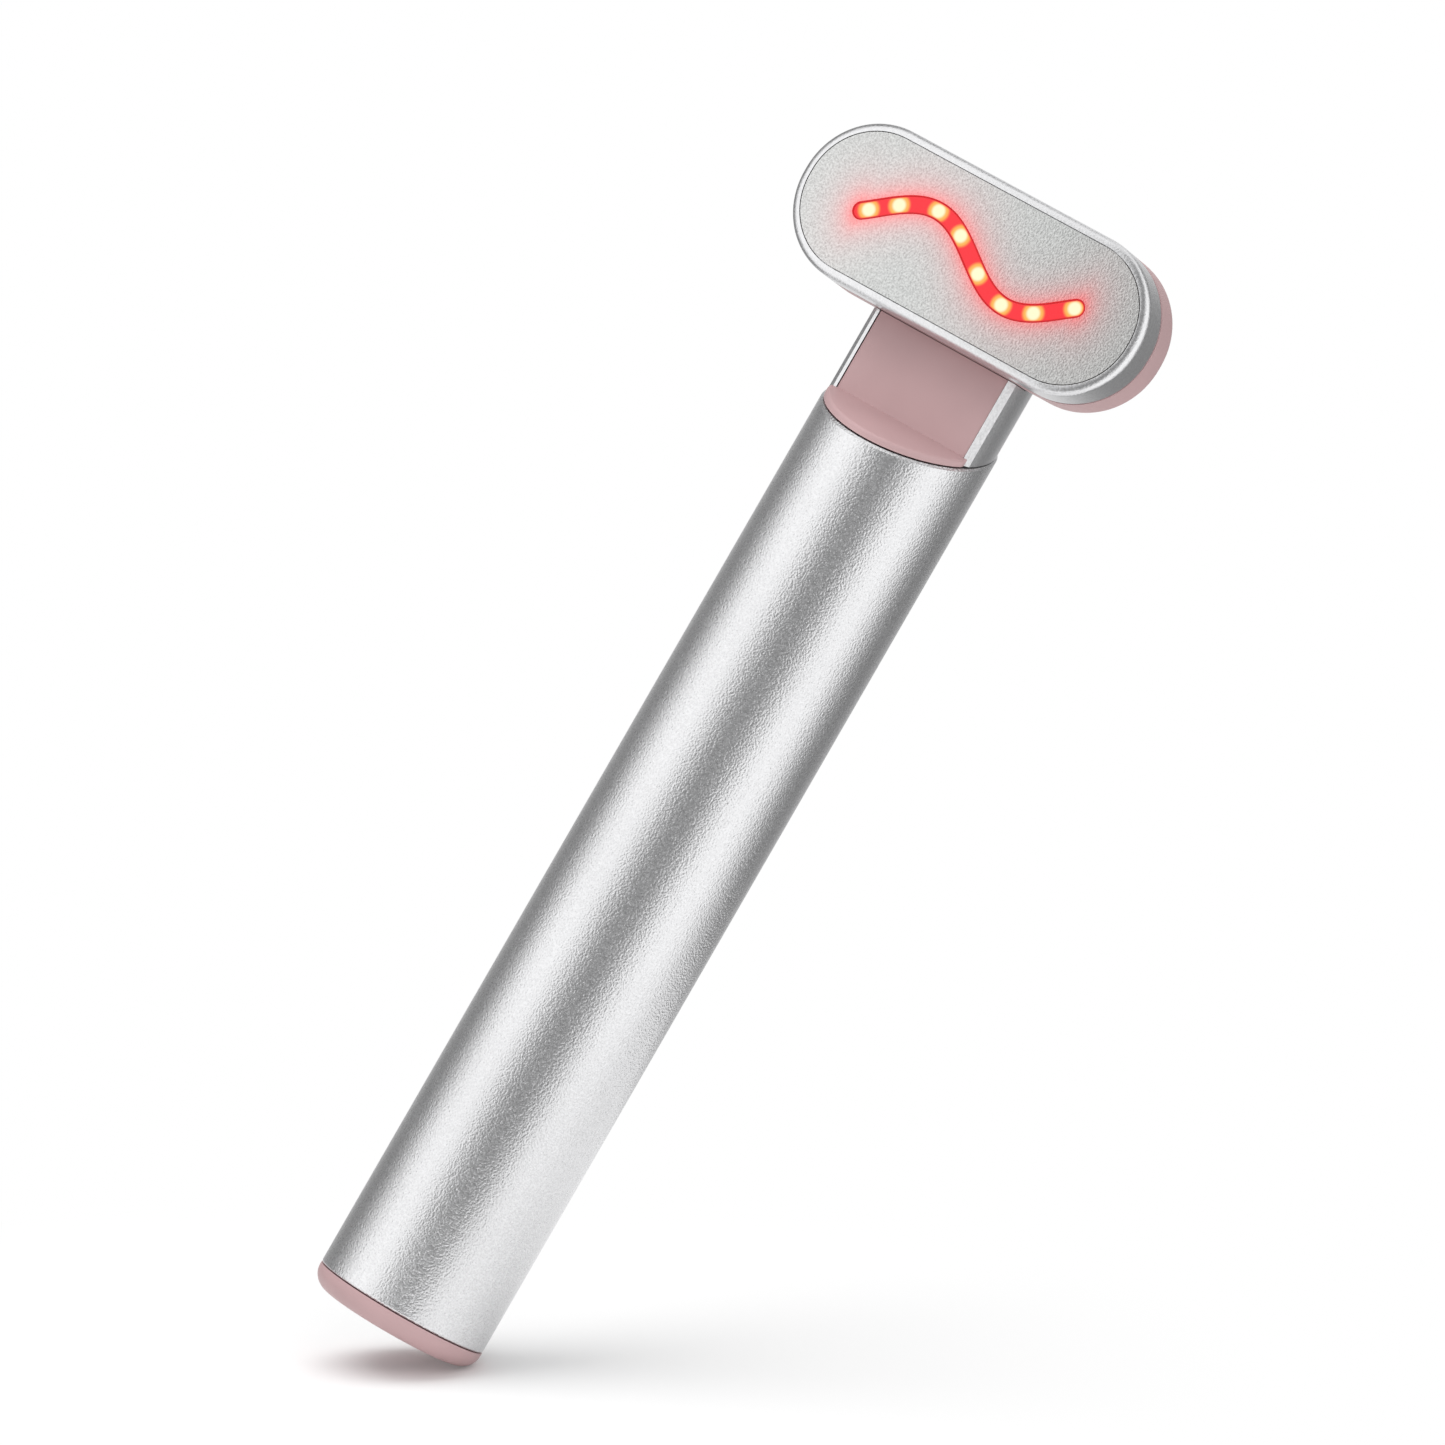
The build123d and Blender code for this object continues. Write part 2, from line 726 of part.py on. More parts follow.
# Room that the head takes, with a gap all round: the neck's pieces are cut back to it
with BuildPart() as head_room:
    with BuildSketch(face_plane(0)):
        head_outline(-fit_gap)
    extrude(amount=-head_depth - fit_gap)
    fillet(head_room.edges().group_by(Axis.Y)[-1], head_back_radius)

head_screw_places = [
    (-head_screw_spread, -head_screw_drop),
    (head_screw_spread, -head_screw_drop),
    (-head_screw_spread, head_screw_rise),
    (head_screw_spread, head_screw_rise),
]

# Neck frame: block that joins the journal's flange to the back of the head
frame_block = neck_block(frame_radius, plate_back - fit_gap, fit_gap, neck_wall + fit_gap)
with BuildPart() as neck_frame:
    add(frame_block)
    split(bisect_by=joint_plane.offset(flange_top), keep=Keep.TOP)
    with BuildSketch():
        with Locations((0, channel_back)):
            Rectangle(channel_width, 2 * neck_radius, align=(Align.CENTER, Align.MAX))
    extrude(amount=head_level + head_height, mode=Mode.SUBTRACT)
    add(head_room.part, mode=Mode.SUBTRACT)
    with BuildSketch(joint_plane.offset(flange_top)):
        with Locations(*flange_screw_places):
            Circle(screw_radius + thread_gap)
    extrude(amount=screw_length, mode=Mode.SUBTRACT)
    with BuildSketch(face_plane(head_depth)):
        with Locations(*head_screw_places):
            Circle(screw_radius + thread_gap)
    extrude(amount=back_wall - screw_length - fit_gap, mode=Mode.SUBTRACT)

# Neck shell: aluminium cowl round the frame, open at the front, with a sloping roof
shell_block = neck_block(neck_radius, neck_front, neck_bevel, 0)
shell_hollow = neck_block(neck_radius - neck_wall, neck_front + neck_wall, fit_gap, neck_wall)
with BuildPart() as neck_shell:
    add(shell_block)
    add(shell_hollow, mode=Mode.SUBTRACT)
    with BuildSketch():
        with Locations((0, fit_gap - plate_back)):
            Rectangle(
                plate_width + 2 * fit_gap, neck_radius, align=(Align.CENTER, Align.MAX)
            )
    extrude(amount=head_level, mode=Mode.SUBTRACT)
    split(bisect_by=joint_plane.offset(seam_gap / 2), keep=Keep.TOP)
    add(head_room.part, mode=Mode.SUBTRACT)

# Neck cover: flat front plate with the rounded ledge at its foot, in one moulding
ledge_slab = oblique_slab(neck_radius, seam_gap / 2, ledge_height)
with BuildPart() as neck_cover:
    add(ledge_slab)
    fillet(neck_cover.edges().filter_by(GeomType.ELLIPSE).sort_by(Axis.Z)[-1], ledge_edge_radius)
    with BuildSketch():
        with Locations((0, -ledge_reach)):
            Rectangle(ledge_width, neck_radius, align=(Align.CENTER, Align.MAX))
        with Locations((0, -plate_front)):
            Rectangle(plate_width, neck_radius, align=(Align.CENTER, Align.MAX))
    extrude(amount=rim_top, mode=Mode.INTERSECT)
    with BuildSketch():
        with Locations((0, -plate_back)):
            Rectangle(plate_width, plate_thickness, align=(Align.CENTER, Align.MAX))
    extrude(amount=head_level)
    split(bisect_by=joint_plane.offset(seam_gap / 2), keep=Keep.TOP)
    add(head_room.part, mode=Mode.SUBTRACT)

# Back shell of the head: pink tray with a lip that goes into the front shell
with BuildPart() as head_back_shell:
    with BuildSketch(face_plane(back_start)):
        head_outline(0)
    extrude(amount=back_start - head_depth)
    fillet(head_back_shell.edges().group_by(Axis.Y)[-1], head_back_radius)
    with BuildSketch(face_plane(back_start)):
        head_outline(side_wall)
    extrude(amount=back_start + back_wall - head_depth, mode=Mode.SUBTRACT)
    with BuildSketch(face_plane(front_depth - lip_reach)):
        head_outline(front_wall + fit_gap)
        head_outline(front_wall + fit_gap + lip_wall, mode=Mode.SUBTRACT)
    extrude(amount=front_depth - lip_reach - back_start - lip_wall)
    with BuildSketch(face_plane(light_board_back + fit_gap)):
        with GridLocations(2 * post_spread, 2 * post_rise, 2, 2):
            Circle(post_radius)
    extrude(amount=light_board_back + fit_gap + back_wall / 2 - head_depth)
    with BuildSketch(face_plane(head_depth - back_wall)):
        with Locations(*head_screw_places):
            Circle(screw_radius + screw_clearance)
        with Locations((0, -lead_crossing)):
            RectangleRounded(lead_window_width, lead_window_height, lead_window_width / 4)
    extrude(amount=-back_wall - overrun, mode=Mode.SUBTRACT)

# Trim ring between the two shells
with BuildPart() as head_trim_ring:
    with BuildSketch(face_plane(trim_front)):
        head_outline(trim_inset)
        head_outline(front_wall, mode=Mode.SUBTRACT)
    extrude(amount=-trim_width)

# Front shell of the head: rounded bezel with the recess for the face plate
with BuildPart() as head_front_shell:
    with BuildSketch(face_plane(0)):
        head_outline(0)
    extrude(amount=-front_depth)
    fillet(head_front_shell.edges().group_by(Axis.Y)[0], head_edge_radius)
    with BuildSketch(face_plane(0)):
        head_outline(bezel_width)
    extrude(amount=-recess_depth, mode=Mode.SUBTRACT)
    with BuildSketch(face_plane(0)):
        head_outline(face_inset + bezel_ledge)
    extrude(amount=-front_depth, mode=Mode.SUBTRACT)
    with BuildSketch(face_plane(board_front_depth)):
        head_outline(front_wall)
    extrude(amount=-front_depth, mode=Mode.SUBTRACT)

# Face plate with the wave-shaped slot, and the seal that it lies on
with BuildPart() as face_plate:
    with BuildSketch(face_plane(0)):
        head_outline(face_inset)
    extrude(amount=-face_thickness)
    with BuildSketch(face_plane(0)):
        wave_outline(channel_light_width)
    extrude(amount=-face_thickness, mode=Mode.SUBTRACT)

with BuildPart() as face_seal:
    with BuildSketch(face_plane(face_thickness)):
        head_outline(face_inset)
        head_outline(face_inset + bezel_ledge, mode=Mode.SUBTRACT)
    extrude(amount=-face_seal_thickness)

# Light guide: fills the slot from behind and is held by its wider back
with BuildPart() as light_guide:
    with BuildSketch(face_plane(guide_recess)):
        wave_outline(channel_light_width - 2 * guide_gap)
    extrude(amount=guide_recess - face_thickness)
    with BuildSketch(face_plane(face_thickness)):
        wave_outline(channel_light_width + 2 * guide_flange)
    extrude(amount=-guide_flange_thickness)

# Board of the lamps, the eight lamps under the channel, and the plug on the board's back
with BuildPart() as light_board:
    with BuildSketch(face_plane(board_front_depth)):
        head_outline(front_wall + 2 * fit_gap)
    extrude(amount=-board_thickness)

lamp_places = [-wave_left * share for share in lamp_left_shares]
lamp_places += [wave_right * share for share in lamp_right_shares]
with BuildPart() as lamps:
    for x in lamp_places:
        with BuildSketch(face_plane(board_front_depth)):
            with Locations((x, wave_level(x))):
                Rectangle(lamp_size, lamp_size)
        extrude(amount=lamp_height)

with BuildPart() as head_plug:
    with BuildSketch(face_plane(light_board_back)):
        with Locations((0, -lead_crossing)):
            Rectangle(plug_width, plug_length)
    extrude(amount=-plug_height)

# Lead in the head unit, from the swivel's axis up the neck and forward to the plug
crossing_level = head_level - lead_crossing
lead_start = joint_plane.from_local_coords((0, 0, -lead_split))
with BuildPart() as head_lead:
    with BuildLine():
        FilletPolyline(
            lead_start,
            joint_plane.from_local_coords((0, 0, lead_bend_rise)),
            (0, lead_back, crossing_level - lead_shoulder),
            (0, lead_back, crossing_level),
            (0, light_board_back + plug_height - face_reach, crossing_level),
            radius=lead_bend_radius,
        )
    with BuildSketch(joint_plane.offset(-lead_split)):
        Circle(lead_radius)
    sweep()

# Screws of the head unit: flange to frame, back shell to frame
head_screw_list = []
for x, y in flange_screw_places:
    middle = joint_plane.from_local_coords((x, y, flange_seat_level))
    head_screw_list.append(pan_screw(Plane(origin=middle, x_dir=(1, 0, 0), z_dir=-joint_plane.z_dir)))
for x, y in head_screw_places:
    middle = face_plane(head_depth - back_wall).from_local_coords((x, y, 0))
    head_screw_list.append(pan_screw(Plane(origin=middle, x_dir=(1, 0, 0), z_dir=(0, -1, 0))))
with BuildPart() as head_screws:
    add(head_screw_list)

pieces = {
    "handle_tube": handle_tube,
    "end_cap": end_cap,
    "end_cap_seal": end_cap_seal,
    "charge_socket_shell": charge_socket_shell,
    "charge_socket_insert": charge_socket_insert,
    "port_board": port_board,
    "chassis": chassis,
    "battery_cell": battery_cell,
    "battery_tabs": battery_tabs,
    "battery_pads": battery_pads,
    "main_board": main_board,
    "board_components": board_components,
    "lead_plug": lead_plug,
    "push_switch": push_switch,
    "switch_plunger": switch_plunger,
    "power_button": power_button,
    "indicator_pipe": indicator_pipe,
    "swivel_socket": swivel_socket,
    "thrust_washer": thrust_washer,
    "handle_screws": handle_screws,
    "handle_lead": handle_lead,
    "swivel_journal": swivel_journal,
    "drag_ring": drag_ring,
    "retaining_ring": retaining_ring,
    "neck_frame": neck_frame,
    "neck_shell": neck_shell,
    "neck_cover": neck_cover,
    "head_back_shell": head_back_shell,
    "head_trim_ring": head_trim_ring,
    "head_front_shell": head_front_shell,
    "face_plate": face_plate,
    "face_seal": face_seal,
    "light_guide": light_guide,
    "light_board": light_board,
    "lamps": lamps,
    "head_plug": head_plug,
    "head_lead": head_lead,
    "head_screws": head_screws,
}
os.makedirs("parts", exist_ok=True)
for name, piece in pieces.items():
    piece.part.label = name
    export_step(piece.part, f"parts/{name}.step")
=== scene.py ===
import math

import bmesh
import bpy
import numpy as np
from mathutils import Matrix, Vector


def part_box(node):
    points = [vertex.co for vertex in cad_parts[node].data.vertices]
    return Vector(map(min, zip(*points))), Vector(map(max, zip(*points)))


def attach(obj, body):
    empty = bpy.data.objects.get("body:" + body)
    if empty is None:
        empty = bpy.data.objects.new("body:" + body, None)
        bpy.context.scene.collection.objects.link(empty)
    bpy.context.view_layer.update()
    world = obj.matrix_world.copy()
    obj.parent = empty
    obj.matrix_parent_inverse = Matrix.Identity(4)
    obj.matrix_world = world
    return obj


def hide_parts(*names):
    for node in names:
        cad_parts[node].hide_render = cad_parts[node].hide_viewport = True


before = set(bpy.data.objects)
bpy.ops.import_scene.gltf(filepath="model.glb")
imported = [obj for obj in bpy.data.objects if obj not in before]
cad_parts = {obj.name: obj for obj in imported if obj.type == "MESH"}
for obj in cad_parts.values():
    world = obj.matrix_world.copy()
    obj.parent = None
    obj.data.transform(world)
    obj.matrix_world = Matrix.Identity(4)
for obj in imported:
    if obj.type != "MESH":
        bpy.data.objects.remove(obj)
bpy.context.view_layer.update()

bl_info = {
    "name": "Red light therapy wand",
    "version": (1, 0, 0),
    "blender": (4, 5, 0),
    "location": "3D View > Sidebar > Wand",
    "description": "Dresses the wand's parts and sets them on a studio floor",
    "category": "Object",
}

# Lengths in this file are in metres, and this is one millimetre
MM = 0.001
# Lamps in the frame's node "lamps", whose points come lamp by lamp
LAMP_COUNT = 8
# Range of the noise that carries a finish from its darkest to its lightest tone
TONE_RANGE = (0.35, 0.65)
# Range of the noise that carries a finish from its smoothest to its roughest grain
GRAIN_RANGE = (0.3, 0.7)
# The tent's soft boxes: degrees from the wand's front to its right, tightness and strength
SOFT_BOXES = ((-37, 8, 1.7), (77, 9, 1.7), (-158, 6, 0.7))


def low(node):
    """The lowest corner of a part of the frame."""
    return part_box(node)[0]


def high(node):
    """The highest corner of a part of the frame."""
    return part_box(node)[1]


def middle(node):
    """The middle of a part's box."""
    return (low(node) + high(node)) / 2


def lamp_centres():
    """The middles of the lamps under the channel: the mean of each lamp's corners."""
    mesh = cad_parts["lamps"].data
    corners = np.empty(len(mesh.vertices) * 3)
    mesh.vertices.foreach_get("co", corners)
    return corners.reshape(LAMP_COUNT, -1, 3).mean(axis=1)


class WandSizes(bpy.types.PropertyGroup):
    """Sizes of the light channel and of the grain on the surfaces"""

    wave_length: bpy.props.FloatProperty(
        name="Wave length", description="Length of one full wave of the light channel",
        default=27 * MM, unit="LENGTH", precision=5)
    wave_height: bpy.props.FloatProperty(
        name="Wave height", description="Height of the wave above the middle of the head",
        default=3.1 * MM, unit="LENGTH", precision=5)
    wave_shift: bpy.props.FloatProperty(
        name="Wave shift", description="Place where the wave crosses the middle",
        default=0.4 * MM, unit="LENGTH", precision=5)
    wave_left: bpy.props.FloatProperty(
        name="Left reach", description="How far the channel's middle line runs to the left",
        default=14.8 * MM, unit="LENGTH", precision=5)
    wave_right: bpy.props.FloatProperty(
        name="Right reach", description="How far the channel's middle line runs to the right",
        default=15.0 * MM, unit="LENGTH", precision=5)
    light_width: bpy.props.FloatProperty(
        name="Light width", description="Width of the lit strip in the slot",
        default=2.24 * MM, unit="LENGTH", precision=5)
    light_recess: bpy.props.FloatProperty(
        name="Light recess", description="How far the lit strip lies behind the face",
        default=0.1 * MM, unit="LENGTH", precision=5)
    light_crown: bpy.props.FloatProperty(
        name="Light crown", description="Radius of the rounding along the strip's edges",
        default=0.25 * MM, unit="LENGTH", precision=5)
    flange_width: bpy.props.FloatProperty(
        name="Flange width", description="Width of the strip's flange behind the face plate",
        default=3.9 * MM, unit="LENGTH", precision=5)
    face_thickness: bpy.props.FloatProperty(
        name="Face thickness", description="Thickness of the face plate",
        default=0.8 * MM, unit="LENGTH", precision=5)
    lamp_spread: bpy.props.FloatProperty(
        name="Lamp spread", description="Radius over which a lamp's hot middle fades",
        default=1.3 * MM, unit="LENGTH", precision=5)
    halo_reach: bpy.props.FloatProperty(
        name="Halo reach", description="Distance over which the red halo on the face fades",
        default=1.5 * MM, unit="LENGTH", precision=5)
    metal_grain: bpy.props.FloatProperty(
        name="Metal grain", description="Size of the blasted grain on handle and head",
        default=0.25 * MM, unit="LENGTH", precision=5)
    face_grain: bpy.props.FloatProperty(
        name="Face grain", description="Size of the coarser grain on the face plate",
        default=0.24 * MM, unit="LENGTH", precision=5)
    plastic_grain: bpy.props.FloatProperty(
        name="Plastic grain", description="Size of the fine texture on the moulded plastic",
        default=0.18 * MM, unit="LENGTH", precision=5)


class WandColours(bpy.types.PropertyGroup):
    """Colours of the wand's finishes"""

    aluminium: bpy.props.FloatVectorProperty(
        name="Aluminium", description="Clear anodised, bead-blasted aluminium",
        default=(0.78, 0.78, 0.79), subtype="COLOR", min=0, max=1)
    face_metal: bpy.props.FloatVectorProperty(
        name="Face metal", description="Coarsely blasted face plate",
        default=(0.65, 0.66, 0.65), subtype="COLOR", min=0, max=1)
    rose: bpy.props.FloatVectorProperty(
        name="Rose", description="Dusty-pink moulded plastic",
        default=(0.52, 0.345, 0.35), subtype="COLOR", min=0, max=1)
    light_red: bpy.props.FloatVectorProperty(
        name="Light red", description="Red of the channel between the lamps",
        default=(0.86, 0.018, 0.028), subtype="COLOR", min=0, max=1)
    light_amber: bpy.props.FloatVectorProperty(
        name="Light amber", description="Amber round a lamp's hot middle",
        default=(1.0, 0.46, 0.08), subtype="COLOR", min=0, max=1)
    light_core: bpy.props.FloatVectorProperty(
        name="Light core", description="Hot middle of a lamp",
        default=(1.0, 0.95, 0.62), subtype="COLOR", min=0, max=1)
    # Painted shade: the dark red that the lit strip turns to along the channel's edges
    light_edge_shade: bpy.props.FloatVectorProperty(
        name="Light edge", description="Dark red along the channel's edges",
        default=(0.36, 0.012, 0.016), subtype="COLOR", min=0, max=1)
    # Painted glow: this red goes into the face plate's colour and emission near the channel
    halo_red: bpy.props.FloatVectorProperty(
        name="Halo red", description="Red light that the face plate scatters",
        default=(0.92, 0.10, 0.11), subtype="COLOR", min=0, max=1)


class StageSettings(bpy.types.PropertyGroup):
    """Camera and light of the studio"""

    azimuth: bpy.props.FloatProperty(
        name="Azimuth", description="Camera's turn from the wand's front towards its right",
        default=math.radians(22.2), subtype="ANGLE")
    elevation: bpy.props.FloatProperty(
        name="Elevation", description="Camera's rise above the wand's level",
        default=math.radians(0.5), subtype="ANGLE")
    lean: bpy.props.FloatProperty(
        name="Lean", description="How far the wand leans to the right in the picture",
        default=math.radians(29.97), subtype="ANGLE")
    distance: bpy.props.FloatProperty(
        name="Distance", description="Distance from the camera to the point it looks at",
        default=930 * MM, unit="LENGTH")
    lens: bpy.props.FloatProperty(
        name="Lens", description="Focal length on a frame 36 mm wide", default=195.1)
    aim_height: bpy.props.FloatProperty(
        name="Aim height", description="Height on the wand that the camera looks at",
        default=81.86 * MM, unit="LENGTH", precision=5)
    aim_shift: bpy.props.FloatProperty(
        name="Aim shift", description="How far right of the wand's axis the camera looks",
        default=-1.69 * MM, unit="LENGTH", precision=5)
    floor_rise: bpy.props.FloatProperty(
        name="Floor rise", description="How steeply the camera looks down on the floor",
        default=math.radians(7), subtype="ANGLE")
    cap_edge: bpy.props.FloatProperty(
        name="Cap edge", description="Radius of the end cap's rounded edge, which meets the floor",
        default=2.3 * MM, unit="LENGTH", precision=5)
    floor_size: bpy.props.FloatProperty(
        name="Floor size", description="Side of the square floor", default=6, unit="LENGTH")
    shadow_reach: bpy.props.FloatProperty(
        name="Shadow reach", description="Distance from the wand at which the floor is plain white",
        default=105 * MM, unit="LENGTH")
    tent_radius: bpy.props.FloatProperty(
        name="Tent radius", description="Radius of the light tent round the wand",
        default=95 * MM, unit="LENGTH")
    tent_height: bpy.props.FloatProperty(
        name="Tent height", description="Height of the light tent", default=600 * MM, unit="LENGTH")
    tent_base: bpy.props.FloatProperty(
        name="Tent base light", description="Light of the tent away from its soft boxes",
        default=0.21, min=0)
    tent_light: bpy.props.FloatProperty(
        name="Tent light", description="Brightest light of the soft boxes behind the tent",
        default=0.98, min=0)
    key_power: bpy.props.FloatProperty(
        name="Key light", description="Power of the large lamp above", default=6.5, min=0)
    key_rise: bpy.props.FloatProperty(
        name="Key rise", description="Height of the large lamp above the wand's middle",
        default=900 * MM, unit="LENGTH")
    key_left: bpy.props.FloatProperty(
        name="Key left", description="How far the large lamp stands to the picture's left",
        default=220 * MM, unit="LENGTH")
    key_size: bpy.props.FloatProperty(
        name="Key size", description="Side of the large lamp", default=900 * MM, unit="LENGTH")
    fill_power: bpy.props.FloatProperty(
        name="Fill light", description="Power of the lamp in front", default=3, min=0)
    fill_front: bpy.props.FloatProperty(
        name="Fill front", description="How far the front lamp stands towards the camera",
        default=900 * MM, unit="LENGTH")
    fill_rise: bpy.props.FloatProperty(
        name="Fill rise", description="Height of the front lamp above the wand's middle",
        default=250 * MM, unit="LENGTH")
    fill_right: bpy.props.FloatProperty(
        name="Fill right", description="How far the front lamp stands to the picture's right",
        default=300 * MM, unit="LENGTH")
    fill_size: bpy.props.FloatProperty(
        name="Fill size", description="Side of the front lamp", default=800 * MM, unit="LENGTH")
    ambient: bpy.props.FloatProperty(
        name="Ambient light", description="Even light from all round", default=0.55, min=0)


def sizes():
    """The sizes that the user has set."""
    return bpy.context.scene.wand_sizes


def colours():
    """The colours that the user has set."""
    return bpy.context.scene.wand_colours


def surface(name, points, closed=True):
    """A mesh of quads over a grid of points, shaped (along, across, 3), that may close on itself
    along the grid."""
    along, across = points.shape[:2]
    number = np.arange(along * across).reshape(along, across)
    if closed:
        number = np.vstack([number, number[:1]])
    quads = np.stack(
        [number[:-1, :-1], number[1:, :-1], number[1:, 1:], number[:-1, 1:]], axis=-1
    )
    mesh = bpy.data.meshes.new(name)
    mesh.from_pydata(points.reshape(-1, 3).tolist(), [], quads.reshape(-1, 4).tolist())
    mesh.polygons.foreach_set("use_smooth", np.ones(len(mesh.polygons), bool))
    mesh.update()
    piece = bpy.data.objects.new(name, mesh)
    bpy.context.scene.collection.objects.link(piece)
    return piece


def merge(piece, distance):
    """Joins points that lie together and turns all faces outwards."""
    work = bmesh.new()
    work.from_mesh(piece.data)
    bmesh.ops.remove_doubles(work, verts=work.verts, dist=distance)
    bmesh.ops.recalc_face_normals(work, faces=work.faces)
    work.to_mesh(piece.data)
    work.free()
    piece.data.update()


def paint(piece, name, values):
    """Stores one number per point under a name that a material can read."""
    piece.data.attributes.new(name, "FLOAT", "POINT").data.foreach_set("value", values)


class Recipe:
    """A material's node tree with short calls for the nodes that the finishes share"""

    def __init__(self, name):
        self.material = bpy.data.materials.new(name)
        self.material.use_nodes = True
        self.tree = self.material.node_tree
        self.shader = self.tree.nodes["Principled BSDF"]

    def node(self, kind, **settings):
        made = self.tree.nodes.new(kind)
        for key, value in settings.items():
            setattr(made, key, value)
        return made

    def link(self, source, target):
        self.tree.links.new(source, target)

    def put(self, **values):
        """Sets the shader's own sockets, named with underscores for spaces."""
        for key, value in values.items():
            self.shader.inputs[key.replace("_", " ")].default_value = value

    def coordinates(self):
        return self.node("ShaderNodeTexCoord").outputs["Object"]

    def number(self, operation, first, second=None, clamp=False):
        """The result of a sum with one or two values, each a socket or a plain number."""
        made = self.node("ShaderNodeMath", operation=operation, use_clamp=clamp)
        for socket, value in zip(made.inputs, (first, second)):
            if isinstance(value, bpy.types.NodeSocket):
                self.link(value, socket)
            elif value is not None:
                socket.default_value = value
        return made.outputs[0]

    def noise(self, size, detail=2.0):
        """Grain whose clumps are about this size across."""
        made = self.node("ShaderNodeTexNoise")
        made.inputs["Scale"].default_value = 1 / size
        made.inputs["Detail"].default_value = detail
        self.link(self.coordinates(), made.inputs["Vector"])
        return made.outputs["Fac"]

    def spread(self, value, lowest, highest, start=0.0, end=1.0):
        """Carries a value from one range to another."""
        made = self.node("ShaderNodeMapRange")
        self.link(value, made.inputs["Value"])
        made.inputs["From Min"].default_value = start
        made.inputs["From Max"].default_value = end
        made.inputs["To Min"].default_value = lowest
        made.inputs["To Max"].default_value = highest
        return made.outputs["Result"]

    def blend(self, share, first, second):
        """A colour between two colours."""
        made = self.node("ShaderNodeMix", data_type="RGBA")
        self.link(share, made.inputs["Factor"])
        for socket, value in zip(made.inputs[6:8], (first, second)):
            if isinstance(value, bpy.types.NodeSocket):
                self.link(value, socket)
            else:
                socket.default_value = (*value, 1)
        return made.outputs[2]

    def bump(self, height, strength, distance):
        made = self.node("ShaderNodeBump")
        made.inputs["Strength"].default_value = strength
        made.inputs["Distance"].default_value = distance
        self.link(height, made.inputs["Height"])
        self.link(made.outputs["Normal"], self.shader.inputs["Normal"])

    def ramp(self, value, stops):
        """A colour ramp over places and colours."""
        made = self.node("ShaderNodeValToRGB")
        made.color_ramp.interpolation = "EASE"
        points = made.color_ramp.elements
        while len(points) < len(stops):
            points.new(0.5)
        for point, (place, colour) in zip(points, stops):
            point.position = place
            point.color = (*colour, 1)
        self.link(value, made.inputs["Fac"])
        return made.outputs["Color"]


def shade(colour, factor):
    """A colour made lighter or darker."""
    return tuple(min(1.0, part * factor) for part in colour)


def dress(material, *nodes):
    """Gives parts of the frame this material."""
    for name in nodes:
        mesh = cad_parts[name].data
        mesh.materials.clear()
        mesh.materials.append(material)


def blasted_metal(name, colour, grain, roughness, contrast, relief):
    """Metal blasted with fine beads: tiny dents that scatter the light, each a little different,
    over a faint drift of tone along the piece."""
    fine_share, broad_share, broad_size = 0.8, 0.2, 90
    smoother, rougher = 0.03, 0.04
    recipe = Recipe(name)
    recipe.put(Metallic=1.0, Specular_IOR_Level=0.5)
    fine = recipe.noise(grain, detail=1.0)
    broad = recipe.noise(grain * broad_size, detail=1.0)
    tone = recipe.number(
        "ADD",
        recipe.number("MULTIPLY", fine, fine_share),
        recipe.number("MULTIPLY", broad, broad_share),
    )
    share = recipe.spread(tone, 0.0, 1.0, *TONE_RANGE)
    recipe.link(
        recipe.blend(share, shade(colour, 1 - contrast), shade(colour, 1 + contrast)),
        recipe.shader.inputs["Base Color"],
    )
    matt = recipe.spread(fine, roughness - smoother, roughness + rougher, *GRAIN_RANGE)
    recipe.link(matt, recipe.shader.inputs["Roughness"])
    recipe.bump(fine, 1.0, relief)
    return recipe


def moulded_plastic(name, colour, grain, roughness):
    """Satin moulded plastic with a faint spark texture and a slight drift of tone."""
    darker, lighter, broad_size = 0.965, 1.03, 60
    smoother, rougher = 0.04, 0.05
    spark_strength, spark_relief = 0.25, 0.02 * MM
    recipe = Recipe(name)
    recipe.put(Metallic=0.0, Specular_IOR_Level=0.5)
    fine = recipe.noise(grain)
    broad = recipe.noise(grain * broad_size)
    share = recipe.spread(broad, 0.0, 1.0, *TONE_RANGE)
    recipe.link(
        recipe.blend(share, shade(colour, darker), shade(colour, lighter)),
        recipe.shader.inputs["Base Color"],
    )
    matt = recipe.spread(fine, roughness - smoother, roughness + rougher, *GRAIN_RANGE)
    recipe.link(matt, recipe.shader.inputs["Roughness"])
    recipe.bump(fine, spark_strength, spark_relief)
    return recipe


class WAND_OT_metal(bpy.types.Operator):
    """Finishes the handle, the neck and the head's front shell in blasted aluminium"""

    bl_idname = "wand.metal"
    bl_label = "Metal shells"

    def execute(self, context):
        colour, grain = colours().aluminium, sizes().metal_grain
        recipe = blasted_metal(
            "blasted aluminium", colour, grain, roughness=0.30, contrast=0.09, relief=0.075 * MM)
        dress(recipe.material, "handle_tube", "swivel_socket", "swivel_journal")
        recipe = blasted_metal(
            "satin aluminium", colour, grain, roughness=0.32, contrast=0.07, relief=0.03 * MM)
        dress(recipe.material, "neck_shell", "head_front_shell", "head_trim_ring")
        return {"FINISHED"}


class WAND_OT_plastic(bpy.types.Operator):
    """Finishes the end cap, the neck's front, the head's back and the button in rose plastic"""

    bl_idname = "wand.plastic"
    bl_label = "Rose plastic"

    def execute(self, context):
        recipe = moulded_plastic(
            "rose plastic", colours().rose, sizes().plastic_grain, roughness=0.46)
        dress(recipe.material, "end_cap", "neck_cover", "head_back_shell", "power_button")
        return {"FINISHED"}


